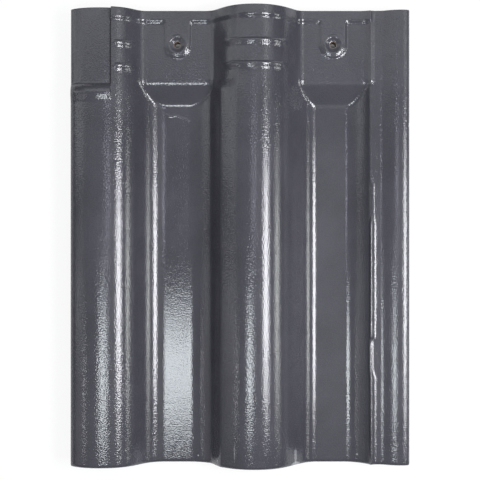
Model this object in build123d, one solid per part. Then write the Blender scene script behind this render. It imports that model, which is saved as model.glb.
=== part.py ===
"""An interlocking clay roof tile, pressed and fired as one piece.

X runs across the tile to the side lock on the right, Y runs up the slope to the head,
and Z is up from the floor that the two pans lie on. The origin is on that floor,
under the middle of the tile. All lengths are in millimetres and angles in degrees.
"""
import math
import os

from build123d import *

# Body
tile_length = 400.0
pan_thickness = 10.0

# Widths of the section, in order from the left edge
flap_width = 25.6
cover_flank_width = 54.9
pan_width = 23.2
roll_half_width = 57.0
wall_width = 21.9
ledge_width = 8.0
ridge_wall_width = 16.2
ridge_top_width = 10.0

# Heights of the section above the top of the pans
cover_roll_rise = 27.8
centre_roll_rise = 36.0
ledge_rise = 12.0
ridge_rise = 16.5

# Radii of a roll's side, as shares of the pair that would leave no straight flank between them
foot_radius_share = 0.34
crest_radius_share = 0.62

# Cover flap, which lies over the ledge and the ridge of the tile beside it
flap_thickness = 7.5
flap_edge_thickness = 5.0
lap_clearance = 0.5

# Side lock on the right
wall_angle = 48.0
lock_thickness = 9.5
ridge_top_radius = 44.0
ridge_round = 2.5

# Rounded edge along the tail
tail_round = 3.0
tail_round_steps = 3

# Raised panel at the head of the pans, with a ramp down to them
panel_rise = 10.0
panel_length = 64.0
ramp_length = 18.0

# Rim along the head edge
rim_height = 1.4
rim_width = 7.5
rim_slope = 4.5

# Weather ribs across the rolls, placed by their middles from the head edge
rib_height = 1.4
rib_top_width = 0.8
rib_head_slope = 1.8
rib_tail_slope = 4.8
rib_places = (30.0, 50.0)
centre_rib_reach = 26.0
cover_rib_width = 19.0

# Recess at the head of the cover flap, where the corners of four tiles meet
recess_crest_drop = 3.5
recess_edge_drop = 1.5
recess_reach = 10.5
recess_length = 66.0
recess_ramp_length = 9.0

# Nail holes, each on a tongue that runs down from the rim
nail_diameter = 5.5
nail_from_head = 30.0
nail_offset = 0.9
tongue_radius = 11.3
tongue_slope = 1.4
seat_radius = 7.6
seat_bead = 1.5
seat_bead_height = 0.9
seat_depth = 1.4

# Nibs that hook behind the batten
nib_width = 34.0
nib_length = 15.0
nib_from_head = 5.0
nib_draft = 1.5

# How far one solid runs into or past another, so that no two faces coincide
overrun = 0.6

# Gap up to which two points of an outline count as one
join_gap = 1e-6

# Places across the tile
tile_width = (
    flap_width + cover_flank_width + 2 * pan_width + 2 * roll_half_width
    + wall_width + ledge_width + ridge_wall_width + ridge_top_width
)
left_x = -tile_width / 2
cover_crest_x = left_x + flap_width
recess_right = cover_crest_x + recess_reach
pan_1_left = cover_crest_x + cover_flank_width
pan_1_right = pan_1_left + pan_width
centre_crest_x = pan_1_right + roll_half_width
pan_2_left = centre_crest_x + roll_half_width
pan_2_right = pan_2_left + pan_width
ledge_left = pan_2_right + wall_width
ledge_right = ledge_left + ledge_width
ridge_x = ledge_right + ridge_wall_width
right_x = ridge_x + ridge_top_width
nail_places = ((pan_1_left + pan_1_right) / 2 + nail_offset, (pan_2_left + pan_2_right) / 2 + nail_offset)

# Places up the tile
head_y = tile_length / 2
tail_y = -tile_length / 2
nail_y = head_y - nail_from_head
ramp_top_y = head_y - panel_length
ramp_foot_y = ramp_top_y - ramp_length * (panel_rise + overrun) / panel_rise

# Levels from the floor
pan_z = pan_thickness
cover_crest_z = pan_z + cover_roll_rise
centre_crest_z = pan_z + centre_roll_rise
ledge_z = pan_z + ledge_rise
ridge_z = pan_z + ridge_rise
panel_z = pan_z + panel_rise
flap_under_z = ledge_z + lap_clearance
flap_edge_z = flap_under_z + flap_edge_thickness
cover_hollow_z = cover_crest_z - flap_thickness
centre_hollow_z = centre_crest_z - pan_thickness
lock_under_z = ledge_z - lock_thickness
top_z = centre_crest_z + rim_height + overrun


def arc(centre_x, centre_z, radius, first, last):
    """Three points of an arc, by the turn of its radius from straight up. A hollow arc has a negative radius."""
    turns = (first, (first + last) / 2, last)
    return [(centre_x + radius * math.sin(turn), centre_z + radius * math.cos(turn)) for turn in turns]


def reverse(spans):
    """The same spans, followed the other way."""
    return [span[::-1] for span in reversed(spans)]


def roll_side(foot_x, foot_z, crest_x, crest_z, thickness=0):
    """One side of a roll from its foot to its crest: an arc, a straight flank and an arc.

    With a thickness, it is the underside of a wall that thick.
    """
    reach = crest_x - foot_x
    rise = crest_z - foot_z
    largest = (reach**2 + rise**2) / (2 * rise)
    foot_radius = largest * foot_radius_share + thickness
    crest_radius = largest * crest_radius_share - thickness
    radii = foot_radius + crest_radius
    flank = math.sqrt(reach**2 + rise**2 - 2 * rise * radii)
    tilt = math.atan2(rise - radii, abs(reach)) + math.atan2(radii, flank)
    turn = math.copysign(tilt, -reach)
    foot = arc(foot_x, foot_z + foot_radius, -foot_radius, 0, turn)
    crest = arc(crest_x, crest_z - crest_radius, crest_radius, turn, 0)
    return [foot, [foot[-1], crest[0]], crest]


def flap(edge_z, crest_z):
    """The cover flap from its edge to the crest of the cover roll."""
    drop = crest_z - edge_z
    radius = (flap_width**2 + drop**2) / (2 * drop)
    return [arc(cover_crest_x, crest_z - radius, radius, -math.asin(flap_width / radius), 0)]


def wall(level, thickness=0):
    """The wall beside the second pan: an arc from the pan and a straight slope up to a level.

    With a thickness, it is the underside of a wall that thick.
    """
    slope = math.radians(wall_angle)
    rest = math.sin(slope) * math.tan(slope) + math.cos(slope) - 1
    radius = (wall_width * math.tan(slope) - ledge_rise) / rest
    foot = arc(pan_2_right, pan_z + radius, -radius - thickness, 0, -slope)
    foot_x, foot_z = foot[-1]
    return [foot, [(foot_x, foot_z), (foot_x + (level - foot_z) / math.tan(slope), level)]]


def ridge():
    """The ridge of the side lock from the ledge to the right edge."""
    round_x = right_x - ridge_round
    turn = math.asin((round_x - ridge_x) / (ridge_top_radius - ridge_round))
    round_z = ridge_z - ridge_top_radius + (ridge_top_radius - ridge_round) * math.cos(turn)
    return [
        *roll_side(ledge_right, ledge_z, ridge_x, ridge_z),
        arc(ridge_x, ridge_z - ridge_top_radius, ridge_top_radius, 0, turn),
        arc(round_x, round_z, ridge_round, turn, math.pi / 2),
    ]


def top_spans():
    """Top of the section from the left edge to the right one: each span is a line or an arc."""
    return [
        *flap(flap_edge_z, cover_crest_z),
        *reverse(roll_side(pan_1_left, pan_z, cover_crest_x, cover_crest_z)),
        [(pan_1_left, pan_z), (pan_1_right, pan_z)],
        *roll_side(pan_1_right, pan_z, centre_crest_x, centre_crest_z),
        *reverse(roll_side(pan_2_left, pan_z, centre_crest_x, centre_crest_z)),
        [(pan_2_left, pan_z), (pan_2_right, pan_z)],
        *wall(ledge_z),
        [(ledge_left, ledge_z), (ledge_right, ledge_z)],
        *ridge(),
    ]


def closed_face(y, spans):
    """A face across the tile at one place along it, with straight lines across the gaps between spans."""
    edges = []
    last = spans[-1][-1]
    for span in spans:
        points = [(x, y, z) for x, z in span]
        if math.dist(last, span[0]) > join_gap:
            edges.append(Line((last[0], y, last[1]), points[0]))
        if len(points) == 2:
            edges.append(Line(*points))
        elif len(points) == 3:
            edges.append(ThreePointArc(*points))
        last = span[-1]
    return make_face(edges)


def solid_section(y, lift=0):
    """The section filled down to the floor at one place along the tile, with its top moved up."""
    top = [[(x, z + lift) for x, z in span] for span in top_spans()]
    return closed_face(y, [*top, [(right_x, 0)], [(left_x, 0)]])


def between(faces):
    """A solid that runs straight from each face to the next."""
    return loft(faces, ruled=True)


def slab(x_from, x_to, y_from, y_to, z_from, z_to):
    """A box between two corners."""
    middle = ((x_from + x_to) / 2, (y_from + y_to) / 2, (z_from + z_to) / 2)
    return Pos(*middle) * Box(x_to - x_from, y_to - y_from, z_to - z_from)


def prism(x_from, x_to, points):
    """A solid with an outline of (y, z) points, from one place across the tile to another."""
    outline = Polyline(*[(x_from, y, z) for y, z in points], close=True)
    return extrude(make_face(outline), amount=x_to - x_from, dir=(1, 0, 0))


def block():
    """The plain section along the whole length, filled to the floor, with its top rounded down at the tail."""
    faces = []
    for step in range(tail_round_steps + 1):
        turn = math.pi / 2 * step / tail_round_steps
        place = tail_y + tail_round * (1 - math.cos(turn))
        faces.append(solid_section(place, tail_round * (math.sin(turn) - 1)))
    return between(faces) + extrude(faces[-1], amount=tile_length - tail_round, dir=(0, 1, 0))


def hollows():
    """What is left open under the cover flap, the centre roll and the side lock."""
    start = tail_y - overrun
    length = tile_length + 2 * overrun
    left = left_x - overrun
    right = right_x + overrun
    cover = [
        *roll_side(pan_1_left, 0, cover_crest_x, cover_hollow_z, pan_thickness),
        *reverse(flap(flap_under_z, cover_hollow_z)),
        [(left, flap_under_z)],
        [(left, -overrun)],
        [(pan_1_left, -overrun)],
    ]
    centre = [
        *roll_side(pan_1_right, 0, centre_crest_x, centre_hollow_z, pan_thickness),
        *reverse(roll_side(pan_2_left, 0, centre_crest_x, centre_hollow_z, pan_thickness)),
        [(pan_2_left, -overrun)],
        [(pan_1_right, -overrun)],
    ]
    lock = [
        *wall(ledge_z, pan_thickness),
        [(right, ledge_z)],
        [(right, -overrun)],
        [(pan_2_right, -overrun)],
    ]
    cuts = [extrude(closed_face(start, spans), amount=length, dir=(0, 1, 0)) for spans in (cover, centre, lock)]
    cuts[-1] &= slab(pan_2_right, right, start, start + length, -overrun, lock_under_z)
    return cuts


def head_panel():
    """The raised floor at the head of the pans, with its share of the rim and its ramp."""
    rim_y = head_y - rim_width
    low_z = pan_z - overrun
    return prism(cover_crest_x, ledge_left, [
        (head_y, low_z),
        (head_y, panel_z + rim_height),
        (rim_y, panel_z + rim_height),
        (rim_y - rim_slope, panel_z),
        (ramp_top_y, panel_z),
        (ramp_foot_y, low_z),
    ])


def under_panel():
    """The hollow under the panel, which keeps the tile's thickness there."""
    return prism(cover_crest_x, right_x + overrun, [
        (head_y + overrun, -overrun),
        (head_y + overrun, panel_rise),
        (ramp_top_y, panel_rise),
        (ramp_foot_y, -overrun),
    ])


def raised_band(y_head, y_tail, height, slopes, x_from, x_to):
    """A band across the rolls, higher than their top, with a slope on its head and tail sides."""
    head_slope, tail_slope = slopes
    faces = [solid_section(y_tail, -overrun), solid_section(y_tail + tail_slope, height)]
    faces.append(solid_section(y_head - head_slope, height))
    if head_slope:
        faces.append(solid_section(y_head, -overrun))
    return between(faces) & slab(x_from, x_to, y_tail, y_head, pan_z - overrun, top_z)


def rim():
    """The part of the rim that crosses the rolls."""
    rim_tail = head_y - rim_width - rim_slope
    return raised_band(head_y, rim_tail, rim_height, (0, rim_slope), recess_right, ledge_left)


def ribs():
    """The weather ribs of the centre roll and of the cover roll."""
    reaches = (
        (centre_crest_x - centre_rib_reach, centre_crest_x + centre_rib_reach),
        (recess_right, recess_right + cover_rib_width),
    )
    slopes = (rib_head_slope, rib_tail_slope)
    bands = []
    for place in rib_places:
        y_head = head_y - place + rib_top_width / 2 + rib_head_slope
        y_tail = head_y - place - rib_top_width / 2 - rib_tail_slope
        bands += [raised_band(y_head, y_tail, rib_height, slopes, *reach) for reach in reaches]
    return bands


def head_recess():
    """What is taken off the head of the cover flap, ending in a ramp up to the plain roll."""
    def recess_face(y, crest_drop, edge_drop):
        edge_z = flap_edge_z - edge_drop
        crest_z = cover_crest_z - crest_drop
        return closed_face(y, [
            *flap(edge_z, crest_z),
            *reverse(roll_side(pan_1_left, pan_z - crest_drop, cover_crest_x, crest_z)),
            [(pan_1_left, top_z)],
            [(left_x - overrun, top_z)],
            [(left_x - overrun, edge_z)],
        ])

    ramp_top = head_y - recess_length
    ramp_foot = ramp_top - recess_ramp_length
    cut = between([
        recess_face(head_y + overrun, recess_crest_drop, recess_edge_drop),
        recess_face(ramp_top, recess_crest_drop, recess_edge_drop),
        recess_face(ramp_foot, -overrun, -overrun),
    ])
    return cut & slab(left_x - overrun, recess_right, ramp_foot, head_y + overrun, 0, top_z)


def nail_tongue(x):
    """The raised tongue round a nail hole, with sloping sides."""
    length = nail_from_head - rim_width
    foot_z = panel_z - overrun
    outline = Pos(x, nail_y, foot_z) * Circle(tongue_radius)
    outline += Pos(x, nail_y + length / 2, foot_z) * Rectangle(2 * tongue_radius, length)
    height = rim_height + overrun
    draft = math.degrees(math.atan2(tongue_slope, rim_height))
    return extrude(outline, amount=height, dir=(0, 0, 1), taper=draft)


def nail_bead(x):
    """The low bead round the seat of the nail's head."""
    bead_z = panel_z + rim_height + seat_bead_height - seat_bead
    return Pos(x, nail_y, bead_z) * Torus(seat_radius, seat_bead)


def nail_cut(x):
    """The dished seat of a nail's head and the hole below it."""
    seat_z = panel_z + rim_height
    radius = nail_diameter / 2
    dish_radius = seat_radius - seat_bead
    outline = Polyline(
        (0, -overrun),
        (radius, -overrun),
        (radius, seat_z - seat_depth),
        (dish_radius, seat_z),
        (dish_radius, seat_z + overrun),
        (0, seat_z + overrun),
        close=True,
    )
    profile = make_face(Plane.XZ * outline)
    return Pos(x, nail_y, 0) * revolve(profile, Axis.Z)


def nib(x):
    """A nib under a panel, with an upright hook face towards the tail."""
    near_y = head_y - nib_from_head
    hook_y = near_y - nib_length
    return prism(x - nib_width / 2, x + nib_width / 2, [
        (hook_y, 0),
        (near_y - nib_draft, 0),
        (near_y, panel_rise + overrun),
        (hook_y, panel_rise + overrun),
    ])


tile = block() + [head_panel(), rim(), *ribs()]
tile -= [head_recess(), under_panel(), *hollows()]
for nail_x in nail_places:
    tile += [nail_tongue(nail_x), nail_bead(nail_x), nib(nail_x)]
    tile -= nail_cut(nail_x)

os.makedirs("parts", exist_ok=True)
export_step(tile, "parts/roof_tile.step")
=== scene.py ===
"""Scene of a glazed interlocking clay roof tile, seen from above on a white floor.

Lengths are in metres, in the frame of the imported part: X runs across the tile to the side lock,
Y up the slope to the head, and Z up out of the glazed face.
"""
import logging
import math
from dataclasses import dataclass, field
from enum import Enum
from typing import Any, Callable

import bpy
import numpy as np
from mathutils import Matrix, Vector


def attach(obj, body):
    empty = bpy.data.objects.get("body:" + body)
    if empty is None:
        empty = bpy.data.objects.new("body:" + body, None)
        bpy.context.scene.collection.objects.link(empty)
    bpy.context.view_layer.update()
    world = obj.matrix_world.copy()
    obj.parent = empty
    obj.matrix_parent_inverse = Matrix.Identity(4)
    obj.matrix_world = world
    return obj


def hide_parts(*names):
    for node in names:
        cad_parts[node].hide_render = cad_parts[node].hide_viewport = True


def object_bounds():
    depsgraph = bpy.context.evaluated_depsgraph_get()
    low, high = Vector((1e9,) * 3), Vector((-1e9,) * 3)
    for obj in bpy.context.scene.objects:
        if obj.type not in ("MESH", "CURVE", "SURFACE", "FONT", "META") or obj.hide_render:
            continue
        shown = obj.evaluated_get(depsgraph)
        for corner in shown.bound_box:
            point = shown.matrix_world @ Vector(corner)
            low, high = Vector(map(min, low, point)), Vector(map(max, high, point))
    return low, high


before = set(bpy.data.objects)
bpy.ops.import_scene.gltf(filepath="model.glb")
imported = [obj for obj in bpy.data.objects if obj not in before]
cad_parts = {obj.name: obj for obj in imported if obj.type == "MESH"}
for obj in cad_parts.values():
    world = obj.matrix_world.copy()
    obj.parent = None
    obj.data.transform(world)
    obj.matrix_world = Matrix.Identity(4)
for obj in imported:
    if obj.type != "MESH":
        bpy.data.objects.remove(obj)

LOG = logging.getLogger("roof_tile")
BODY = "root"
NODE = "roof_tile"
COVER = "glaze_cover"
MM = 0.001
NOISE_MIDDLE = 0.5
CAD_LOW, CAD_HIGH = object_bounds()

Colour = tuple[float, float, float]
Point = tuple[float, float]
Array = np.ndarray
HeightMap = Callable[[Array, Array], Array]

WHITE: Colour = (1.0, 1.0, 1.0)


# Shader maths

class Value:
    """A number, colour or vector that varies over a surface, with arithmetic for numbers."""

    def __init__(self, graph: "Graph", socket: bpy.types.NodeSocket) -> None:
        """Wraps an output socket of a graph."""
        self.graph = graph
        self.socket = socket

    def math(self, operation: str, first: Any, second: Any = 0.0) -> "Value":
        """Adds a Math node.

        Args:
            operation: Name of the node's operation.
            first: First number or Value.
            second: Second number or Value.

        Returns:
            The node's result.
        """
        return self.graph.node("ShaderNodeMath", {"operation": operation}, {0: first, 1: second})

    def __add__(self, other: Any) -> "Value":
        """Sum."""
        return self.math("ADD", self, other)

    def __radd__(self, other: Any) -> "Value":
        """Sum with a number on the left."""
        return self.math("ADD", other, self)

    def __sub__(self, other: Any) -> "Value":
        """Difference."""
        return self.math("SUBTRACT", self, other)

    def __rsub__(self, other: Any) -> "Value":
        """Difference from a number."""
        return self.math("SUBTRACT", other, self)

    def __mul__(self, other: Any) -> "Value":
        """Product."""
        return self.math("MULTIPLY", self, other)

    def __rmul__(self, other: Any) -> "Value":
        """Product with a number on the left."""
        return self.math("MULTIPLY", other, self)

    def away(self, middle: float) -> "Value":
        """Distance of the number from a middle."""
        return self.math("ABSOLUTE", self - middle)

    def step(self, low: float, high: float) -> "Value":
        """A smooth step from 0 at one level to 1 at another.

        Args:
            low: Level at which the step starts.
            high: Level at which the step ends.

        Returns:
            The stepped value.
        """
        settings = {"interpolation_type": "SMOOTHSTEP"}
        return self.graph.node("ShaderNodeMapRange", settings, {0: self, 1: low, 2: high, 3: 0.0, 4: 1.0})


@dataclass(frozen=True)
class Noise:
    """A noise pattern: the length of a feature, the number of finer layers and their strength."""

    size: float
    detail: float = 2.0
    roughness: float = 0.5


class Graph:
    """The node tree of one material or of the world."""

    def __init__(self, tree: bpy.types.NodeTree) -> None:
        """Clears a tree and takes it over."""
        self.tree = tree
        tree.nodes.clear()

    def node(self, kind: str, settings: dict[str, Any], inputs: dict[Any, Any], output: Any = 0) -> Value:
        """Adds any node.

        Args:
            kind: Type of the node.
            settings: Properties of the node, set before its sockets.
            inputs: Numbers, colours or Values for its input sockets, by name or place.
            output: Name or place of the output wanted.

        Returns:
            The wanted output.
        """
        made = self.tree.nodes.new(kind)
        for name, setting in settings.items():
            setattr(made, name, setting)
        for place, given in inputs.items():
            if isinstance(given, Value):
                self.tree.links.new(given.socket, made.inputs[place])
            else:
                made.inputs[place].default_value = given
        return Value(self, made.outputs[output] if made.outputs else None)

    def blend(self, share: Any, first: Any, second: Any) -> Value:
        """Mixes two colours.

        Args:
            share: How much of the second colour there is.
            first: Colour at a share of 0.
            second: Colour at a share of 1.

        Returns:
            The mixed colour.
        """
        colours = {0: share, 6: opaque(first), 7: opaque(second)}
        return self.node("ShaderNodeMix", {"data_type": "RGBA"}, colours, 2)

    def noise(self, place: Value, pattern: Noise) -> Value:
        """Adds a noise texture.

        Args:
            place: Coordinates in metres.
            pattern: Size and fineness of the noise.

        Returns:
            The noise, which varies about NOISE_MIDDLE.
        """
        inputs = {
            "Vector": place,
            "Scale": 1 / pattern.size,
            "Detail": pattern.detail,
            "Roughness": pattern.roughness,
        }
        return self.node("ShaderNodeTexNoise", {"noise_dimensions": "3D"}, inputs, "Fac")

    def attribute(self, name: str) -> Value:
        """Reads a number that is stored on the mesh."""
        return self.node("ShaderNodeAttribute", {"attribute_name": name}, {}, "Fac")

    def place(self) -> Value:
        """Coordinates in the frame of the part."""
        return self.node("ShaderNodeTexCoord", {}, {}, "Object")

    def part_of(self, place: Value, axis: str) -> Value:
        """One coordinate of a place, by its axis."""
        return self.node("ShaderNodeSeparateXYZ", {}, {0: place}, axis)

    def bump(self, height: Value, depth: float) -> Value:
        """Turns a height into a normal.

        Args:
            height: Height as a share of the depth.
            depth: Depth of a whole step in metres.

        Returns:
            The normal.
        """
        inputs = {"Height": height, "Distance": depth, "Strength": 1.0}
        return self.node("ShaderNodeBump", {}, inputs, "Normal")


def opaque(colour: Any) -> Any:
    """A colour with its alpha, or a Value as it is."""
    return colour if isinstance(colour, Value) else (*colour, 1.0)


# Finishes

class Coat(Enum):
    """How much glaze lies on a surface."""

    GLAZED = 1.0
    BARE = 0.0


@dataclass(frozen=True)
class Blemish:
    """A pale mark with a frayed edge in the glaze, where the tile stands above a height.

    Its place, half size, height and onset above that height are in millimetres.
    """

    place: Point
    half: Point
    share: float
    above: float = 0.0
    onset: float = 1.0
    fray: float = 2.2
    edge_levels: tuple[float, float] = (0.35, 1.1)

    def cover(self, graph: Graph, place: Value, ragged: Value) -> Value:
        """How much of the mark shows.

        Args:
            graph: Node tree of the material.
            place: Coordinates in metres.
            ragged: Noise that frays the mark's edge.

        Returns:
            A share from 0 to the mark's own.
        """
        across = (graph.part_of(place, "X") - self.place[0] * MM) * (1 / (self.half[0] * MM))
        along = (graph.part_of(place, "Y") - self.place[1] * MM) * (1 / (self.half[1] * MM))
        away = across * across + along * along + (ragged - NOISE_MIDDLE) * self.fray
        upper = graph.part_of(place, "Z").step(self.above * MM, (self.above + self.onset) * MM)
        return (1 - away.step(*self.edge_levels)) * upper * self.share


@dataclass(frozen=True)
class GlazeFinish:
    """A dark grey gloss glaze with an orange-peel skin, over clay that shows where it is bare."""

    dark: Colour = (0.0400, 0.0390, 0.0490)
    light: Colour = (0.0570, 0.0555, 0.0685)
    pale: Colour = (0.34, 0.35, 0.37)
    clay_dark: Colour = (0.125, 0.088, 0.066)
    clay_light: Colour = (0.205, 0.150, 0.115)
    peel: Noise = Noise(1.1 * MM, 0.4)
    peel_depth: float = 0.13 * MM
    pooled_share: float = 0.58
    pool_levels: tuple[float, float] = (10.4 * MM, 12.5 * MM)
    swell: Noise = Noise(5.0 * MM, 1.0, 0.4)
    swell_depth: float = 0.06 * MM
    cloud: Noise = Noise(45.0 * MM, 4.0, 0.6)
    fleck: Noise = Noise(1.1 * MM, 2.0, 0.7)
    tone_shares: tuple[float, float] = (0.7, 0.6)
    tone_levels: tuple[float, float] = (0.42, 0.88)
    smooth: float = 0.115
    dull: float = 0.145
    dull_levels: tuple[float, float] = (0.35, 0.7)
    refraction: float = 1.52
    fray: Noise = Noise(2.0 * MM, 3.0, 0.7)
    edge: Noise = Noise(5.0 * MM, 4.0, 0.65)
    edge_share: float = 0.9
    edge_levels: tuple[float, float] = (0.42, 0.58)
    clay_cloud: Noise = Noise(30.0 * MM, 5.0, 0.65)
    clay_grain: Noise = Noise(0.8 * MM, 4.0, 0.7)
    clay_grain_depth: float = 0.35 * MM
    clay_shares: tuple[float, float] = (0.6, 0.5)
    clay_levels: tuple[float, float] = (0.3, 0.8)
    clay_roughness: float = 0.86
    blemishes: tuple[Blemish, ...] = (
        Blemish((48.5, -191.5), (1.4, 7.5), 0.4),
        Blemish((48.6, -198.6), (4.6, 2.2), 0.6, 14.0),
        Blemish((-37.5, -193.6), (0.9, 0.9), 0.7),
        Blemish((-20.5, -194.9), (0.8, 0.8), 0.6),
        Blemish((-5.1, -185.1), (0.6, 9.0), 0.3),
        Blemish((103.5, -192.1), (1.2, 0.8), 0.55),
        Blemish((148.2, 98.8), (0.9, 2.8), 0.9, 21.5),
    )

    def material(self) -> bpy.types.Material:
        """Builds the material of the whole tile.

        Returns:
            The material.
        """
        made = bpy.data.materials.new("glazed_clay")
        made.use_nodes = True
        graph = Graph(made.node_tree)
        place = graph.place()
        glaze = self.glaze(graph, place)
        clay = self.clay(graph, place)
        ragged = graph.noise(place, self.edge)
        cover = graph.attribute(COVER) + (ragged - NOISE_MIDDLE) * self.edge_share
        covered = cover.step(*self.edge_levels)
        shader = graph.node("ShaderNodeMixShader", {}, {0: covered, 1: clay, 2: glaze})
        graph.node("ShaderNodeOutputMaterial", {}, {"Surface": shader})
        return made

    def glaze(self, graph: Graph, place: Value) -> Value:
        """Adds the glaze.

        Args:
            graph: Node tree of the material.
            place: Coordinates in metres.

        Returns:
            The glaze's shader.
        """
        cloud = graph.noise(place, self.cloud)
        fleck = graph.noise(place, self.fleck)
        tone = (cloud * self.tone_shares[0] + fleck * self.tone_shares[1]).step(*self.tone_levels)
        peel = (graph.noise(place, self.peel) - NOISE_MIDDLE) * self.pooled(graph, place)
        swell = graph.noise(place, self.swell)
        height = peel + swell * (self.swell_depth / self.peel_depth)
        ragged = graph.noise(place, self.fray)
        marked = sum((mark.cover(graph, place, ragged) for mark in self.blemishes), 0.0)
        return graph.node("ShaderNodeBsdfPrincipled", {}, {
            "Base Color": graph.blend(marked, graph.blend(tone, self.dark, self.light), self.pale),
            "Roughness": self.smooth + cloud.step(*self.dull_levels) * (self.dull - self.smooth),
            "IOR": self.refraction,
            "Normal": graph.bump(height, self.peel_depth),
        })

    def pooled(self, graph: Graph, place: Value) -> Value:
        """Strength of the orange peel, which is weaker in the pans, where the glaze pools.

        Args:
            graph: Node tree of the material.
            place: Coordinates in metres.

        Returns:
            A share up to 1.
        """
        raised = graph.part_of(place, "Z").step(*self.pool_levels)
        return self.pooled_share + raised * (1 - self.pooled_share)

    def clay(self, graph: Graph, place: Value) -> Value:
        """Adds the bare fired clay.

        Args:
            graph: Node tree of the material.
            place: Coordinates in metres.

        Returns:
            The clay's shader.
        """
        cloud = graph.noise(place, self.clay_cloud)
        grain = graph.noise(place, self.clay_grain)
        tone = (cloud * self.clay_shares[0] + grain * self.clay_shares[1]).step(*self.clay_levels)
        return graph.node("ShaderNodeBsdfPrincipled", {}, {
            "Base Color": graph.blend(tone, self.clay_dark, self.clay_light),
            "Roughness": self.clay_roughness,
            "Normal": graph.bump(grain, self.clay_grain_depth),
        })


@dataclass(frozen=True)
class FloorFinish:
    """A white studio floor that keeps a soft shadow from the lamps, with a painted shadow under the tile.
    """

    # covered is the half size of the tile's footprint, where the floor gets its painted shadow
    covered: Point
    open_tone: Colour = (0.9, 0.9, 0.9)
    # dark tone of the painted shadow on the floor under the tile
    painted_shadow_tone: Colour = (0.10, 0.09, 0.08)
    shown_share: float = 0.86
    mirrored_share: float = 0.05
    fade: float = 15.0 * MM

    def material(self) -> bpy.types.Material:
        """Builds the floor's material.

        Returns:
            The material.
        """
        made = bpy.data.materials.new("studio_floor")
        made.use_nodes = True
        graph = Graph(made.node_tree)
        outside_painted_shadow = self.outside_painted_shadow(graph)
        # paints the floor dark under the tile as shade, and keeps the white background out of that painted
        # shadow
        tone = graph.blend(outside_painted_shadow, self.painted_shadow_tone, self.open_tone)
        lit = graph.node("ShaderNodeBsdfDiffuse", {}, {"Color": tone})
        white = graph.node("ShaderNodeEmission", {}, {"Color": opaque(WHITE), "Strength": 1.0})
        seen = self.seen_rays(graph) * outside_painted_shadow * self.shown_share
        shader = graph.node("ShaderNodeMixShader", {}, {0: seen, 1: lit, 2: white})
        graph.node("ShaderNodeOutputMaterial", {}, {"Surface": shader})
        return made

    def outside_painted_shadow(self, graph: Graph) -> Value:
        """A value that is 0 under the tile, where the floor has a painted shadow instead of its white, and
        1 beside it.
        """
        place = graph.place()
        half_x, half_y = self.covered
        across = graph.part_of(place, "X").away(0.0).step(half_x - 2 * self.fade, half_x - self.fade)
        along = graph.part_of(place, "Y").away(0.0).step(half_y - 2 * self.fade, half_y - self.fade)
        return 1 - (1 - across) * (1 - along)

    def seen_rays(self, graph: Graph) -> Value:
        """How much rays show the floor as background: seen directly, let through or mirrored in the glaze.

        Args:
            graph: Node tree to add to.

        Returns:
            The value, 1 for a floor that is seen directly.
        """
        direct = graph.node("ShaderNodeLightPath", {}, {}, "Is Camera Ray")
        through = graph.node("ShaderNodeLightPath", {}, {}, "Is Transmission Ray")
        glossy = graph.node("ShaderNodeLightPath", {}, {}, "Is Glossy Ray")
        return direct + through + glossy * self.mirrored_share


# Shape of the tile

def smooth_step(share: Array) -> Array:
    """A smooth step from 0 to 1 as its argument goes from 0 to 1."""
    held = np.clip(share, 0.0, 1.0)
    return held * held * (3 - 2 * held)


def soft_max(first: Array, second: Array, reach: float) -> Array:
    """The larger of two heights, with the corner between them rounded.

    Args:
        first: One height.
        second: The other height.
        reach: Difference of height within which they run together.

    Returns:
        The rounded larger height.
    """
    share = np.clip(0.5 + 0.5 * (first - second) / reach, 0.0, 1.0)
    return second + (first - second) * share + reach * share * (1 - share)


def soft_min(first: Array, second: Array, reach: float) -> Array:
    """The smaller of two heights, with the corner between them rounded."""
    return -soft_max(-first, -second, reach)


def bezier(points: list[Point], steps: int = 160) -> Array:
    """Samples a Bezier curve.

    Args:
        points: Its control points.
        steps: Number of samples.

    Returns:
        Rows of the samples' coordinates.
    """
    share = np.linspace(0.0, 1.0, steps)[:, None]
    degree = len(points) - 1
    terms = [
        math.comb(degree, order) * share**order * (1 - share) ** (degree - order) * np.array(point)
        for order, point in enumerate(points)
    ]
    return np.sum(terms, axis=0)


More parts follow.
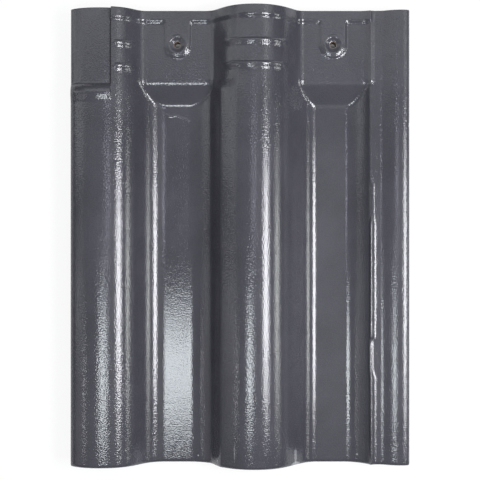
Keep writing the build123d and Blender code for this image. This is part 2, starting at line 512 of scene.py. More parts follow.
@dataclass
class Section:
    """The wavy section of the tile, from the cover flap on the left to the side lock on the right."""

    left: float
    right: float
    flap: float = 25.6 * MM
    cover_flank: float = 54.9 * MM
    cover_foot: float = 2.4 * MM
    pan: float = 23.2 * MM
    half_roll: float = 57.0 * MM
    wall: float = 21.9 * MM
    ledge: float = 8.0 * MM
    ridge_wall: float = 19.7 * MM
    ridge_radius: float = 16.0 * MM
    thickness: float = 10.0 * MM
    cover_rise: float = 27.8 * MM
    centre_rise: float = 36.0 * MM
    ledge_rise: float = 12.0 * MM
    ridge_rise: float = 16.5 * MM
    cover_shares: tuple[float, float] = (0.50, 0.66)
    centre_shares: tuple[float, float] = (0.37, 0.58)
    head_shares: tuple[float, float] = (0.455, 0.58)
    riser_foot: float = 1.4 * MM
    riser_low: Point = (19.4 * MM, 7.4 * MM)
    riser_high: Point = (27.0 * MM, 23.4 * MM)
    riser_angles: tuple[float, float] = (40.0, 40.0)
    riser_crest: tuple[float, float] = (11.0 * MM, 11.5 * MM)
    ridge_shares: tuple[float, float] = (0.28, 0.54)
    wall_angle: float = 48.0
    flap_thickness: float = 7.5 * MM
    flap_edge: float = 5.0 * MM
    flap_angle: float = 52.0
    flap_under_angle: float = 36.0
    flap_shares: tuple[float, float] = (0.20, 0.42)
    lap_gap: float = 0.5 * MM
    lock_thickness: float = 9.5 * MM
    glaze_round: float = 0.7 * MM
    round_span: float = 4.0
    sample: float = 0.1 * MM
    top_line: tuple[Array, Array] = field(init=False)
    head_line: tuple[Array, Array] = field(init=False)
    under_line: tuple[Array, Array] = field(init=False)

    def __post_init__(self) -> None:
        """Works out the places across the tile and both lines of the section."""
        self.crest_1 = self.left + self.flap
        self.pan_1 = (self.crest_1 + self.cover_flank, self.crest_1 + self.cover_flank + self.pan)
        self.crest_2 = self.pan_1[1] + self.half_roll
        self.pan_2 = (self.crest_2 + self.half_roll, self.crest_2 + self.half_roll + self.pan)
        self.ledge_left = self.pan_2[1] + self.wall
        self.ledge_right = self.ledge_left + self.ledge
        self.ridge_x = self.ledge_right + self.ridge_wall
        self.pan_z = self.thickness
        self.ledge_z = self.pan_z + self.ledge_rise
        self.ridge_z = self.pan_z + self.ridge_rise
        self.cover_z = self.pan_z + self.cover_rise
        self.centre_z = self.pan_z + self.centre_rise
        self.flap_under_z = self.ledge_z + self.lap_gap
        self.flap_edge_z = self.flap_under_z + self.flap_edge
        self.centre_top = (self.crest_2, self.centre_z)
        wave = self.roll_side((self.pan_1[1], self.pan_z), self.centre_top, self.head_shares)
        self.top_line = self.rounded(self.top_points(self.riser_side()))
        self.head_line = self.rounded(self.top_points(wave))
        self.under_line = self.rounded(self.under_points())

    @staticmethod
    def roll_side(foot: Point, crest: Point, shares: tuple[float, float], lean: float = 0.0) -> Array:
        """One side of a roll.

        Args:
            foot: Point where the side leaves the pan.
            crest: Point at the top of the roll.
            shares: Shares of its width over which it stays level at the foot and at the crest.
            lean: Share by which the curve leans towards the crest.

        Returns:
            Points from the foot to the crest.
        """
        reach = crest[0] - foot[0]
        low = (foot[0] + reach * (shares[0] + lean), foot[1])
        high = (crest[0] - reach * (shares[1] - lean), crest[1])
        return bezier([foot, low, high, crest])

    def flap_curve(self, edge_z: float, crest_z: float, angle: float) -> Array:
        """The cover flap from its edge, which curls down, to the crest of the cover roll.

        Args:
            edge_z: Height of the edge.
            crest_z: Height of the crest.
            angle: Slope at the edge in degrees.

        Returns:
            Points from the edge to the crest.
        """
        curl, level = (self.flap * share for share in self.flap_shares)
        return bezier([
            (self.left, edge_z),
            (self.left + curl, edge_z + curl * math.tan(math.radians(angle))),
            (self.crest_1 - level, crest_z),
            (self.crest_1, crest_z),
        ])

    def riser_side(self) -> Array:
        """The left side of the centre roll, which has a steep riser between its foot and its shoulder.

        Returns:
            Points from the foot to the crest.
        """
        corner = np.array([self.pan_1[1], self.pan_z])
        low, high = corner + self.riser_low, corner + self.riser_high
        foot_slope, shoulder_slope = (math.tan(math.radians(angle)) for angle in self.riser_angles)
        rising, level = self.riser_crest
        foot = bezier([
            (self.pan_1[1] - self.riser_foot, self.pan_z),
            (low[0] - self.riser_low[1] / foot_slope, self.pan_z),
            tuple(low),
        ])
        shoulder = bezier([
            tuple(high),
            (high[0] + rising, high[1] + rising * shoulder_slope),
            (self.crest_2 - level, self.centre_z),
            self.centre_top,
        ])
        return np.concatenate([foot, shoulder])

    def top_points(self, left_side: Array) -> Array:
        """The glazed line of the section.

        Args:
            left_side: Points of the left side of the centre roll.

        Returns:
            Points from the left edge to the right one.
        """
        run = self.ledge_rise / math.tan(math.radians(self.wall_angle))
        ridge_top = self.right - self.ridge_x
        cover_foot = (self.pan_1[0] + self.cover_foot, self.pan_z)
        ridge = (self.ridge_x, self.ridge_z)
        return np.concatenate([
            self.flap_curve(self.flap_edge_z, self.cover_z, self.flap_angle),
            self.roll_side(cover_foot, (self.crest_1, self.cover_z), self.cover_shares)[::-1],
            left_side,
            self.roll_side((self.pan_2[0], self.pan_z), self.centre_top, self.centre_shares)[::-1],
            bezier([
                (self.pan_2[1], self.pan_z),
                (self.ledge_left - run, self.pan_z),
                (self.ledge_left, self.ledge_z),
            ]),
            self.roll_side((self.ledge_right, self.ledge_z), ridge, self.ridge_shares),
            bezier([
                ridge,
                (self.ridge_x + ridge_top / 2, self.ridge_z),
                (self.right, self.ridge_z - ridge_top**2 / (2 * self.ridge_radius)),
            ]),
        ])

    def under_points(self) -> Array:
        """The bare line of the section.

        Returns:
            Points from the left edge to the right one.
        """
        cover_z = self.cover_z - self.flap_thickness
        centre_top = (self.crest_2, self.centre_z - self.thickness)
        lean_1 = self.lean(self.cover_rise, self.cover_flank)
        lean_2 = self.lean(self.centre_rise, self.half_roll)
        slope = math.radians(self.wall_angle)
        lock_z = self.ledge_z - self.lock_thickness
        wall_x = self.ledge_left + self.thickness / math.sin(slope) - self.lock_thickness / math.tan(slope)
        return np.concatenate([
            self.flap_curve(self.flap_under_z, cover_z, self.flap_under_angle),
            self.roll_side((self.pan_1[0], 0.0), (self.crest_1, cover_z), self.cover_shares, lean_1)[::-1],
            self.roll_side((self.pan_1[1], 0.0), centre_top, self.centre_shares, lean_2),
            self.roll_side((self.pan_2[0], 0.0), centre_top, self.centre_shares, lean_2)[::-1],
            bezier([(self.pan_2[1], 0.0), (wall_x - lock_z / math.tan(slope), 0.0), (wall_x, lock_z)]),
            np.array([(self.right, lock_z)]),
        ])

    def lean(self, rise: float, reach: float) -> float:
        """How far the hollow under a roll leans to its crest, so that the wall keeps its thickness."""
        return 4 / 3 * self.thickness * math.tan(math.atan2(2 * rise, reach) / 2) / reach

    def rounded(self, points: Array) -> tuple[Array, Array]:
        """Samples a line evenly and rounds its corners, as the glaze does.

        Args:
            points: Points of the line.

        Returns:
            Even places across the tile and the heights there.
        """
        across = np.arange(self.left, self.right + self.sample, self.sample)
        height = np.interp(across, points[:, 0], points[:, 1])
        reach = self.round_span * self.glaze_round
        offsets = np.arange(-reach, reach + self.sample, self.sample)
        weights = np.exp(-0.5 * (offsets / self.glaze_round) ** 2)
        weights /= weights.sum()
        margin = len(offsets) // 2
        slopes = (height[1] - height[0], height[-1] - height[-2])
        before = height[0] - slopes[0] * np.arange(margin, 0, -1)
        after = height[-1] + slopes[1] * np.arange(1, margin + 1)
        padded = np.concatenate([before, height, after])
        return across, np.convolve(padded, weights, "valid")[: len(across)]

    def top(self, x: Array, head_share: Array) -> Array:
        """Height of the glazed face, apart from what the head adds.

        Args:
            x: Places across the tile.
            head_share: Share of the head's section, which has no riser.

        Returns:
            Heights at those places.
        """
        plain, head = np.interp(x, *self.top_line), np.interp(x, *self.head_line)
        return plain * (1 - head_share) + head * head_share

    def under(self, x: Array) -> Array:
        """Height of the bare face, apart from what the head adds."""
        return np.interp(x, *self.under_line)


@dataclass
class HeadDetails:
    """What the head of the tile has: panels, rim, weather ribs, corner recess, nail seats and nibs."""

    section: Section
    tail: float
    head: float
    panel_rise: float = 10.0 * MM
    panel_length: float = 64.0 * MM
    ramp_length: float = 18.0 * MM
    ramp_round_share: float = 0.16
    rim_height: float = 1.4 * MM
    rim_width: float = 7.5 * MM
    rim_slope: float = 4.5 * MM
    rib_height: float = 1.4 * MM
    rib_head_side: float = 2.0 * MM
    rib_tail_side: float = 5.2 * MM
    rib_places: tuple[float, float] = (30.0 * MM, 50.0 * MM)
    centre_rib_reach: float = 24.0 * MM
    cover_rib_gap: float = 6.0 * MM
    cover_rib_width: float = 17.0 * MM
    recess_crest_drop: float = 3.5 * MM
    recess_edge_drop: float = 1.5 * MM
    recess_reach: float = 10.5 * MM
    recess_length: float = 66.0 * MM
    recess_ramp: float = 7.5 * MM
    recess_lip: float = 1.65 * MM
    recess_lip_length: float = 9.0 * MM
    recess_wall: float = 1.4 * MM
    nail_radius: float = 2.75 * MM
    nail_from_head: float = 30.0 * MM
    nail_offset: float = 0.9 * MM
    tongue_radius: float = 11.3 * MM
    tongue_slope: float = 2.0 * MM
    tongue_fillet: float = 5.0 * MM
    seat_radius: float = 7.6 * MM
    seat_bead: float = 2.0 * MM
    seat_bead_height: float = 0.6 * MM
    seat_bead_power: float = 1.5
    seat_depth: float = 1.4 * MM
    crest_fall: float = 1.8 * MM
    crest_fall_length: float = 90.0 * MM
    nib_half_width: float = 17.0 * MM
    nib_length: float = 15.0 * MM
    nib_from_head: float = 5.0 * MM
    nib_draft: float = 1.0 * MM
    corner: float = 1.4 * MM
    panel_corner: float = 6.0 * MM
    corner_fade: float = 12.0 * MM
    corner_past: float = 8.0 * MM

    def __post_init__(self) -> None:
        """Works out the places of the nails and the ribs."""
        middles = [(pan[0] + pan[1]) / 2 for pan in (self.section.pan_1, self.section.pan_2)]
        self.nails = [(middle + self.nail_offset, self.head - self.nail_from_head) for middle in middles]
        self.recess_right = self.section.crest_1 + self.recess_reach
        centre = self.section.crest_2
        self.rib_reaches = (
            (centre - self.centre_rib_reach, centre + self.centre_rib_reach),
            (self.recess_right + self.cover_rib_gap, self.recess_right + self.cover_rib_width),
        )

    def top(self, x: Array, y: Array) -> Array:
        """Height of the glazed face.

        Args:
            x: Places across the tile.
            y: Places up the tile.

        Returns:
            Heights at those places.
        """
        back = self.head - y
        fall = (self.panel_length + self.ramp_length - back) / self.ramp_length
        rise_share = soft_min(fall, np.ones_like(fall), self.ramp_round_share)
        level = self.section.pan_z + self.panel_rise * rise_share
        softness = smooth_step((self.panel_length + self.corner_past - back) / self.corner_fade)
        plain = self.section.top(x, softness)
        inside = smooth_step((self.section.ledge_left + self.rim_slope - x) / self.rim_slope)
        raised = soft_max(plain, level, self.corner + (self.panel_corner - self.corner) * softness)
        height = plain + (raised - plain) * inside
        height += self.rim_height * self.rim_share(x, y) + self.rib_height * self.rib_share(x, y)
        height -= self.recess_drop(x, y) + self.tail_drop(x, y, plain)
        return height + self.seat_lift(x, y)

    def rim_share(self, x: Array, y: Array) -> Array:
        """Share of the rim's height that the rim and the nail tongues have at a place."""
        edge = self.head - y - self.rim_width - self.rim_slope / 2
        for nail_x, nail_y in self.nails:
            away = np.hypot(x - nail_x, np.minimum(y - nail_y, 0.0)) - self.tongue_radius
            edge = soft_min(edge, away * self.rim_slope / self.tongue_slope, self.tongue_fillet)
        share = smooth_step(0.5 - edge / self.rim_slope)
        left = smooth_step((x - self.recess_right) / self.recess_wall + 0.5)
        right = smooth_step((self.section.ledge_left - x) / self.rim_slope + 0.5)
        return share * left * right

    def rib_share(self, x: Array, y: Array) -> Array:
        """Share of a rib's height that the weather ribs have at a place."""
        share = np.zeros_like(x)
        for place in self.rib_places:
            for left, right in self.rib_reaches:
                beyond = np.maximum(np.maximum(left - x, x - right), 0.0)
                ahead = y - (self.head - place)
                ahead = ahead / np.where(ahead > 0, self.rib_head_side, self.rib_tail_side)
                away = np.hypot(beyond / self.rib_tail_side, ahead)
                share = np.maximum(share, smooth_step(1 - away))
        return share * smooth_step((x - self.recess_right) / self.recess_wall + 0.5)

    def recess_drop(self, x: Array, y: Array) -> Array:
        """Depth of the recess in the corner of the cover flap."""
        beyond = self.head - y - self.recess_length
        along = np.clip(1 - beyond / self.recess_ramp, 0.0, 1.0) ** 2
        lip = self.recess_lip * smooth_step(1 - (beyond - self.recess_ramp) / self.recess_lip_length)
        rounding = np.clip((self.section.crest_1 - x) / self.section.flap, 0.0, 1.0) ** 2
        drop = self.recess_crest_drop + (self.recess_edge_drop - self.recess_crest_drop) * rounding
        inside = smooth_step((self.recess_right - x) / self.recess_wall + 0.5)
        return ((drop + self.recess_lip) * along - lip) * inside

    def tail_drop(self, x: Array, y: Array, plain: Array) -> Array:
        """How far the centre roll falls towards the tail.

        Args:
            x: Places across the tile.
            y: Places up the tile.
            plain: Heights of the plain section there.

        Returns:
            Drops at those places.
        """
        near = np.abs(x - self.section.crest_2) < self.section.half_roll
        share = np.clip((plain - self.section.pan_z) / self.section.centre_rise, 0.0, 1.0) * near
        along = np.clip((self.crest_fall_length - (y - self.tail)) / self.crest_fall_length, 0.0, 1.0)
        return self.crest_fall * share * along**2

    def seat_lift(self, x: Array, y: Array) -> Array:
        """Height of the bead round each nail hole, less the depth of its dished seat."""
        lift = np.zeros_like(x)
        for nail_x, nail_y in self.nails:
            away = np.hypot(x - nail_x, y - nail_y)
            bead = np.clip(1 - ((away - self.seat_radius) / self.seat_bead) ** 2, 0.0, 1.0)
            dish_edge = self.seat_radius - self.seat_bead / 2
            dish = smooth_step((dish_edge - away) / (dish_edge - self.nail_radius))
            lift += self.seat_bead_height * bead**self.seat_bead_power - self.seat_depth * dish
        return lift

    def under(self, x: Array, y: Array) -> Array:
        """Height of the bare face.

        Args:
            x: Places across the tile.
            y: Places up the tile.

        Returns:
            Heights at those places.
        """
        back = self.head - y
        fall = (self.panel_length + self.ramp_length - back) / self.ramp_length
        level = self.panel_rise * np.minimum(fall, 1.0)
        plain = self.section.under(x)
        inside = smooth_step((x - self.section.crest_1) / self.rim_slope)
        height = plain + (soft_max(plain, level, self.corner) - plain) * inside
        for nail_x, _ in self.nails:
            sides = (self.nib_half_width - np.abs(x - nail_x)) / self.nib_draft + 0.5
            near = (back - self.nib_from_head) / self.nib_draft + 0.5
            far = (self.nib_from_head + self.nib_length - back) / self.nib_draft + 0.5
            nib = np.clip(np.minimum(np.minimum(sides, near), far), 0.0, 1.0)
            height = height * (1 - nib)
        return height


@dataclass
class LedgeLip:
    """The ragged lip that the press left along the ledge, with its broken places."""

    ledge_left: float
    places: tuple[float, ...] = (-123.0, -116.0, -92.0, -87.0, 13.0, 21.0, 46.0, 54.0)
    shifts: tuple[float, ...] = (0.3, -0.7, -0.7, 0.3, 0.3, 1.5, 1.5, 0.0)
    widths: tuple[float, ...] = (5.7, 4.0, 4.0, 5.5, 5.5, 2.6, 2.6, 1.0)
    slope: float = 0.62
    fall: float = 1.0 * MM
    notch: float = -90.0 * MM
    notch_half: float = 1.6 * MM

    def height(self, x: Array, y: Array) -> Array:
        """Height of the lip over the ledge.

        Args:
            x: Places across the tile.
            y: Places up the tile.

        Returns:
            Heights at those places.
        """
        places = np.array(self.places) * MM
        start = x - self.ledge_left - np.interp(y, places, np.array(self.shifts) * MM)
        width = np.interp(y, places, np.array(self.widths) * MM)
        top = self.slope * width / 2 * (1 - np.exp(-(((y - self.notch) / self.notch_half) ** 2)))
        inner = np.clip(1 - start / width, 0.0, 1.0) ** 2
        outer = np.clip(1 + start / self.fall, 0.0, 1.0)
        return top * np.where(start > 0, inner, outer)


@dataclass
class GlazeRun:
    """A thin raised run of glaze below the ramp of the first pan."""

    places: tuple[Point, ...] = (
        (-66.0, 110.2), (-63.3, 108.0), (-57.1, 108.9), (-50.8, 106.6), (-46.4, 104.4),
    )
    rise: float = 0.4 * MM
    half: float = 0.9 * MM

    def height(self, x: Array, y: Array) -> Array:
        """Height of the run.

        Args:
            x: Places across the tile.
            y: Places up the tile.

        Returns:
            Heights at those places.
        """
        away = np.full(x.shape, np.inf)
        for first, last in zip(self.places, self.places[1:]):
            start, end = np.array(first) * MM, np.array(last) * MM
            run = end - start
            share = np.clip(((x - start[0]) * run[0] + (y - start[1]) * run[1]) / (run @ run), 0.0, 1.0)
            away = np.minimum(away, np.hypot(x - start[0] - share * run[0], y - start[1] - share * run[1]))
        return self.rise * smooth_step(1 - away / self.half)

    def middle(self) -> float:
        """Place of the run up the tile."""
        return sum(place[1] for place in self.places) / len(self.places) * MM


@dataclass
class Mark:
    """A place near which the grid of the mesh is finer."""

    place: float
    step: float
    reach: float = 0.0


def graded(low: float, high: float, coarse: float, marks: list[Mark], growth: float = 0.35) -> Array:
    """Places between two ends, closer together near marks.

    Args:
        low: First place.
        high: Last place.
        coarse: Widest step.
        marks: Places with a finer step.
        growth: How fast a step grows with the distance from a mark.

    Returns:
        The places, with both ends.
    """
    places = [low]
    while places[-1] < high:
        steps = [mark.step + growth * max(abs(places[-1] - mark.place) - mark.reach, 0.0) for mark in marks]
        places.append(places[-1] + min([coarse, *steps]))
    spread = np.array(places)
    return low + (spread - low) * (high - low) / (spread[-1] - low)


def joined(ends: list[float], coarse: float, marks: list[Mark]) -> Array:
    """Graded places that pass exactly through a row of ends."""
    runs = [graded(low, high, coarse, marks) for low, high in zip(ends, ends[1:])]
    return np.concatenate([runs[0][:1], *[run[1:] for run in runs]])


@dataclass
class GlazedTile:
    """The whole tile as one closed mesh: its glazed face, its bare back, its edges and its nail holes."""

    low: Vector
    high: Vector
    finish: GlazeFinish
    right_round: float = 2.5 * MM
    left_round: float = 1.0 * MM
    tail_round: float = 3.0 * MM
    head_round: float = 1.2 * MM
    coarse_column: float = 2.2 * MM
    coarse_row: float = 4.6 * MM
    patch: float = 10.2 * MM
    patch_step: float = 1.1 * MM
    patch_reach: float = 12.0 * MM
    patch_slack: float = 0.01 * MM
    square_fade: float = 4.0
    seat_rings: int = 13
    under_rings: int = 3
    hole_rings: int = 5
    sharp: float = 50.0

    def __post_init__(self) -> None:
        """Works out the section and the head from the box of the part."""
        self.section = Section(self.low.x, self.high.x)
        self.head = HeadDetails(self.section, self.low.y, self.high.y)
        self.lip = LedgeLip(self.section.ledge_left)
        self.run = GlazeRun()
        self.points: list[Array] = []
        self.faces: list[Array] = []
        self.cover: list[Array] = []
        self.count = 0

    def build(self) -> bpy.types.Object:
        """Makes the mesh, dresses it and sets it on the part's body.

        Returns:
            The tile.
        """
        columns, rows = self.columns(), self.rows()
        top = self.sheet(columns, rows, self.top, Coat.GLAZED)
        under = self.sheet(columns, rows, self.under, Coat.BARE)
        self.skin(columns, rows, top, False)
        self.skin(columns, rows, under, True)
        self.bridge(border(under), border(top))
        for nail in self.head.nails:
            self.nail_hole(nail, columns, rows, top, under)
        tile = self.to_object()
        tile.data.materials.append(self.finish.material())
        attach(tile, BODY)
        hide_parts(NODE)
        return tile

    def columns(self) -> Array:
        """Places of the grid across the tile."""
        section, head = self.section, self.head
        marks = [
            Mark(section.left, step=0.35 * MM),
            Mark(head.recess_right, step=0.5 * MM, reach=1.0 * MM),
            Mark(head.rib_reaches[1][1], step=0.8 * MM, reach=3.0 * MM),
            Mark(section.pan_1[1] + section.riser_low[0], step=0.8 * MM, reach=1.5 * MM),
            Mark(section.pan_1[1] + section.riser_high[0], step=0.8 * MM, reach=1.5 * MM),
            Mark(section.ledge_left, step=0.6 * MM, reach=4.0 * MM),
            Mark(section.ledge_right, step=0.8 * MM, reach=3.0 * MM),
            Mark(section.right, step=0.3 * MM, reach=self.right_round),
        ]
        marks += [Mark(place, step=1.1 * MM, reach=2.0 * MM) for place in head.rib_reaches[0]]
        ends = [section.left]
        for nail_x, _ in head.nails:
            marks.append(Mark(nail_x, self.patch_step, self.patch_reach))
            ends += [nail_x - self.patch, nail_x + self.patch]
        return joined([*ends, section.right], self.coarse_column, marks)

    def rows(self) -> Array:
        """Places of the grid up the tile."""
        head = self.head
        nail_y = head.head - head.nail_from_head
        panel_y = head.head - head.panel_length
        marks = [
            Mark(self.low.y, step=0.45 * MM, reach=self.tail_round),
            Mark(self.high.y, step=0.4 * MM, reach=self.head_round),
            Mark(head.head - head.rim_width - head.rim_slope / 2, step=0.55 * MM, reach=2.5 * MM),
            Mark(nail_y, self.patch_step, self.patch_reach),
            Mark(panel_y, step=0.9 * MM, reach=3.0 * MM),
            Mark(panel_y - head.ramp_length, step=1.2 * MM, reach=4.0 * MM),
            Mark(self.lip.notch, step=0.7 * MM, reach=2.0 * MM),
            Mark(self.run.middle(), step=0.6 * MM, reach=3.5 * MM),
        ]
        marks += [Mark(head.head - place, step=0.65 * MM, reach=3.5 * MM) for place in head.rib_places]
        marks += [Mark(place * MM, step=1.4 * MM, reach=2.0 * MM) for place in self.lip.places]
        ends = [self.low.y, nail_y - self.patch, nail_y + self.patch, self.high.y]
        return joined(ends, self.coarse_row, marks)

    def top(self, x: Array, y: Array) -> Array:
        """Height of the glazed face with its edges rounded off."""
        height = self.head.top(x, y) + self.lip.height(x, y) + self.run.height(x, y)
        gaps = (
            (self.high.x - x, self.right_round),
            (x - self.low.x, self.left_round),
            (y - self.low.y, self.tail_round),
            (self.high.y - y, self.head_round),
        )
        for gap, rounding in gaps:
            inward = np.clip(1 - gap / rounding, 0.0, 1.0)
            height = height - rounding * (1 - np.sqrt(1 - inward**2))
        return np.minimum(height, self.high.z)

    def under(self, x: Array, y: Array) -> Array:
        """Height of the bare face."""
        return np.maximum(self.head.under(x, y), self.low.z)

    def add(self, points: Array, coat: Coat) -> Array:
        """Adds points to the mesh.

        Args:
            points: Rows of coordinates.
            coat: What lies on them.

        Returns:
            The points' numbers.
        """
        numbers = self.count + np.arange(len(points))
        self.points.append(points)
        self.cover.append(np.full(len(points), coat.value))
        self.count += len(points)
        return numbers

    def sheet(self, columns: Array, rows: Array, height: HeightMap, coat: Coat) -> Array:
        """Adds the points of one face of the tile.

        Args:
            columns: Places across the tile.
            rows: Places up the tile.
            height: Height at a place.
            coat: What lies on the face.

        Returns:
            The points' numbers, by row and column.
        """
        x, y = np.meshgrid(columns, rows)
        points = np.stack([x, y, height(x, y)], axis=-1).reshape(-1, 3)
        return self.add(points, coat).reshape(x.shape)

    def skin(self, columns: Array, rows: Array, grid: Array, flipped: bool) -> None:
        """Adds the faces of one side, apart from the patches round the nail holes.

        Args:
            columns: Places across the tile.
            rows: Places up the tile.
            grid: The points' numbers.
            flipped: Whether the side looks down.
        """
        quads = np.stack([grid[:-1, :-1], grid[:-1, 1:], grid[1:, 1:], grid[1:, :-1]], axis=-1)
        x = (columns[:-1] + columns[1:]) / 2
        y = (rows[:-1] + rows[1:]) / 2
        kept = np.ones(quads.shape[:2], bool)
        for nail_x, nail_y in self.head.nails:
            kept &= (np.abs(x - nail_x) > self.patch)[None, :] | (np.abs(y - nail_y) > self.patch)[:, None]
        chosen = quads[kept]
        self.faces.append(chosen[:, ::-1] if flipped else chosen)

    def bridge(self, first: Array, second: Array) -> None:
        """Adds a closed band of faces between two loops of as many points."""
        self.faces.append(np.stack([first, np.roll(first, -1), np.roll(second, -1), second], axis=-1))

    def nail_hole(self, nail: Point, columns: Array, rows: Array, top: Array, under: Array) -> None:
        """Adds the rings of a nail seat, the hole's wall and the ring under it.

        Args:
            nail: Middle of the hole.
            columns: Places across the tile.
            rows: Places up the tile.
            top: Numbers of the glazed face's points.
            under: Numbers of the bare face's points.
        """
        margin = self.patch + self.patch_slack
        across = np.flatnonzero(np.abs(columns - nail[0]) < margin)
        along = np.flatnonzero(np.abs(rows - nail[1]) < margin)
        window = np.ix_(along, across)
        upper = self.rings(nail, border(top[window]), self.top, Coat.GLAZED, self.seat_rings)
        lower = self.rings(nail, border(under[window]), self.under, Coat.BARE, self.under_rings)
        for outer, inner in zip(upper, upper[1:]):
            self.bridge(outer, inner)
        for outer, inner in zip(lower, lower[1:]):
            self.bridge(inner, outer)
        self.hole_wall(upper[-1], lower[-1])

    def rings(self, nail: Point, outer: Array, height: HeightMap, coat: Coat, steps: int) -> list[Array]:
        """Adds rings that run from the rim of a square patch to a nail hole.

        Args:
            nail: Middle of the hole.
            outer: Numbers of the points round the patch.
            height: Height at a place.
            coat: What lies there, up to the bare hole.
            steps: Number of rings.

        Returns:
            The points' numbers of every ring, from the outer one to the hole.
        """
        placed = np.concatenate(self.points)[outer, :2] - np.array(nail)
        angle = np.arctan2(placed[:, 1], placed[:, 0])
        circle = np.stack([np.cos(angle), np.sin(angle)], axis=-1)
        found = [outer]
        for step in range(1, steps + 1):
            share = step / steps
            radius = self.patch + (self.head.nail_radius - self.patch) * share
            square = max(1 - self.square_fade * share, 0.0)
            flat = circle * radius * (1 - square) + placed * square * (1 - share)
            x, y = flat[:, 0] + nail[0], flat[:, 1] + nail[1]
            points = np.stack([x, y, height(x, y)], axis=-1)
            found.append(self.add(points, Coat.BARE if step == steps else coat))
        return found

    def hole_wall(self, upper: Array, lower: Array) -> None:
        """Adds the wall of a nail hole between its upper and lower rings."""
        everything = np.concatenate(self.points)
        above, below = everything[upper], everything[lower]
        last = upper
        for step in range(1, self.hole_rings):
            share = step / self.hole_rings
            points = above * (1 - share) + below * share
            ring = self.add(points, Coat.BARE)
            self.bridge(last, ring)
            last = ring
        self.bridge(last, lower)

    def to_object(self) -> bpy.types.Object:
        """Turns the points and faces into a mesh with its numbers for the finish.

        Returns:
            The tile, linked to the scene.
        """
        points = np.concatenate(self.points)
        faces = np.concatenate(self.faces)
        mesh = bpy.data.meshes.new("glazed_tile")
        mesh.from_pydata(points.tolist(), [], faces.tolist())
        store = mesh.attributes.new(COVER, "FLOAT", "POINT")
        store.data.foreach_set("value", np.concatenate(self.cover).astype(np.float32))
        mesh.polygons.foreach_set("use_smooth", np.ones(len(mesh.polygons), bool))
        mesh.set_sharp_from_angle(angle=math.radians(self.sharp))
        mesh.validate()
        mesh.update()
        tile = bpy.data.objects.new("glazed_tile", mesh)
        bpy.context.scene.collection.objects.link(tile)
        LOG.info("glazed tile: %d points, %d faces", len(points), len(faces))
        return tile


def border(grid: Array) -> Array:
    """The numbers round a grid, anticlockwise from its first corner."""
    return np.concatenate([grid[0, :-1], grid[:-1, -1], grid[-1, :0:-1], grid[:0:-1, 0]])


# Studio

LEFT_TINT: Colour = (0.94, 1.0, 0.97)
RIGHT_TINT: Colour = (0.95, 0.95, 1.0)


@dataclass(frozen=True)
class Lamp:
    """A soft box of the studio."""

    name: str
    place: tuple[float, float, float]
    tilt: float
    size: tuple[float, float]
    power: float
    colour: Colour = WHITE

    def build(self) -> bpy.types.Object:
        """Makes the lamp.

        Returns:
            The lamp, linked to the scene.
        """
        data = bpy.data.lights.new(self.name, "AREA")
        data.shape = "RECTANGLE"
        data.size, data.size_y = self.size
        data.energy = self.power
        data.color = self.colour
        lamp = bpy.data.objects.new(self.name, data)
        lamp.location = self.place
        lamp.rotation_euler = (0.0, math.radians(self.tilt), 0.0)
        bpy.context.scene.collection.objects.link(lamp)
        return lamp


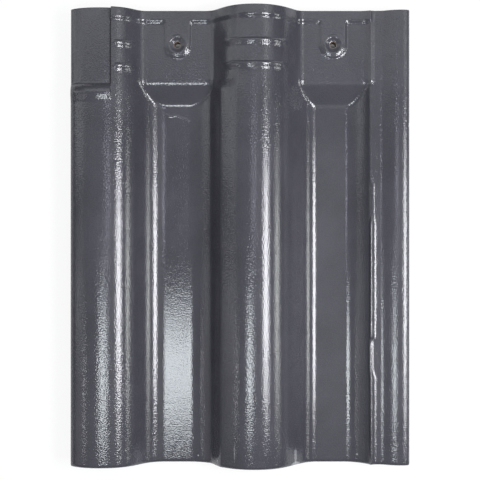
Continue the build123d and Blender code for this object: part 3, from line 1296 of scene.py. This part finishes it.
@dataclass
class Studio:
    """White floor, soft boxes, pale surroundings and the camera above the tile."""

    floor: FloorFinish
    floor_half: float = 4.0
    floor_gap: float = 0.0004
    zenith: float = 0.40
    horizon: float = 0.10
    sky_levels: tuple[float, float] = (0.0, 0.95)
    camera_place: tuple[float, float, float] = (0.0, -0.0136, 0.885)
    lens: float = 73.6
    sensor: float = 36.0
    shift: tuple[float, float] = (-0.0008, 0.0277)
    lamps: tuple[Lamp, ...] = (
        Lamp("overhead_box", (-0.133, -0.23, 0.93), 0.0, (0.20, 0.206), 2.0, (0.90, 0.97, 1.0)),
        Lamp("overhead_tint", (0.0, 0.11, 0.93), 0.0, (0.03, 0.24), 0.30, (0.82, 0.84, 1.0)),
        Lamp("right_strip", (0.549, -0.08, 0.93), 31.0, (0.26, 0.46), 8.8, RIGHT_TINT),
        Lamp("right_strip_dim", (0.549, 0.35, 0.93), 31.0, (0.05, 0.40), 0.25, RIGHT_TINT),
        Lamp("far_right_strip", (1.985, -0.1475, 0.93), 65.0, (0.42, 0.705), 8.4, (0.96, 1.0, 0.95)),
        Lamp("far_left_box", (-0.95, -0.31, 0.92), -46.0, (0.08, 0.12), 0.32, (0.95, 0.96, 1.0)),
        Lamp("left_far_panel", (-1.5, 0.54, 0.76), -63.0, (0.85, 0.32), 0.75, LEFT_TINT),
        Lamp("left_low_panel", (-1.5, 0.54, 0.22), -84.0, (0.40, 0.34), 0.5, LEFT_TINT),
        Lamp("left_head_panel", (-1.5, 0.30, 0.76), -63.0, (0.85, 0.16), 0.72, LEFT_TINT),
        Lamp("left_panel", (-1.5, -0.135, 0.76), -63.0, (0.85, 0.13), 0.62, LEFT_TINT),
        Lamp("left_tail_panel", (-1.5, -0.43, 0.76), -63.0, (0.85, 0.39), 0.4),
        Lamp("head_panel", (0.0, 0.75, 1.0), 0.0, (2.4, 0.8), 6.0, (0.95, 1.0, 0.99)),
        Lamp("right_fill", (0.17, -0.08, 0.94), 0.0, (0.20, 0.60), 0.2),
    )

    def build(self) -> None:
        """Makes the whole studio."""
        self.make_floor()
        self.make_surroundings()
        for lamp in self.lamps:
            lamp.build()
        self.make_camera()
        bpy.context.scene.view_settings.view_transform = "Standard"

    def make_floor(self) -> None:
        """Lays the floor just under the tile."""
        half, level = self.floor_half, -self.floor_gap
        corners = [(-half, -half, level), (half, -half, level), (half, half, level), (-half, half, level)]
        mesh = bpy.data.meshes.new("studio_floor")
        mesh.from_pydata(corners, [], [(0, 1, 2, 3)])
        mesh.materials.append(self.floor.material())
        floor = bpy.data.objects.new("studio_floor", mesh)
        bpy.context.scene.collection.objects.link(floor)

    def make_surroundings(self) -> None:
        """Lights the scene from all round, more from above, with a white background."""
        world = bpy.data.worlds.new("studio")
        world.use_nodes = True
        bpy.context.scene.world = world
        graph = Graph(world.node_tree)
        direction = graph.node("ShaderNodeTexCoord", {}, {}, "Generated")
        height = graph.part_of(direction, "Z").step(*self.sky_levels)
        level = self.horizon + height * (self.zenith - self.horizon)
        direct = graph.node("ShaderNodeLightPath", {}, {}, "Is Camera Ray")
        strength = level + direct * (1 - level)
        light = graph.node("ShaderNodeBackground", {}, {"Color": opaque(WHITE), "Strength": strength})
        graph.node("ShaderNodeOutputWorld", {}, {"Surface": light})

    def make_camera(self) -> None:
        """Sets the camera above the tile, looking straight down."""
        data = bpy.data.cameras.new("camera")
        data.lens = self.lens
        data.sensor_width = self.sensor
        data.shift_x, data.shift_y = self.shift
        camera = bpy.data.objects.new("camera", data)
        camera.location = self.camera_place
        bpy.context.scene.collection.objects.link(camera)
        bpy.context.scene.camera = camera


def main() -> None:
    """Builds the tile and the studio, and logs what it made."""
    logging.basicConfig(level=logging.INFO, format="%(name)s: %(message)s")
    tile = GlazedTile(CAD_LOW, CAD_HIGH, GlazeFinish()).build()
    LOG.info("%s stands for %s", tile.name, NODE)
    Studio(FloorFinish((CAD_HIGH.x, CAD_HIGH.y))).build()
    LOG.info("studio is set")


if __name__ == "__main__":
    main()
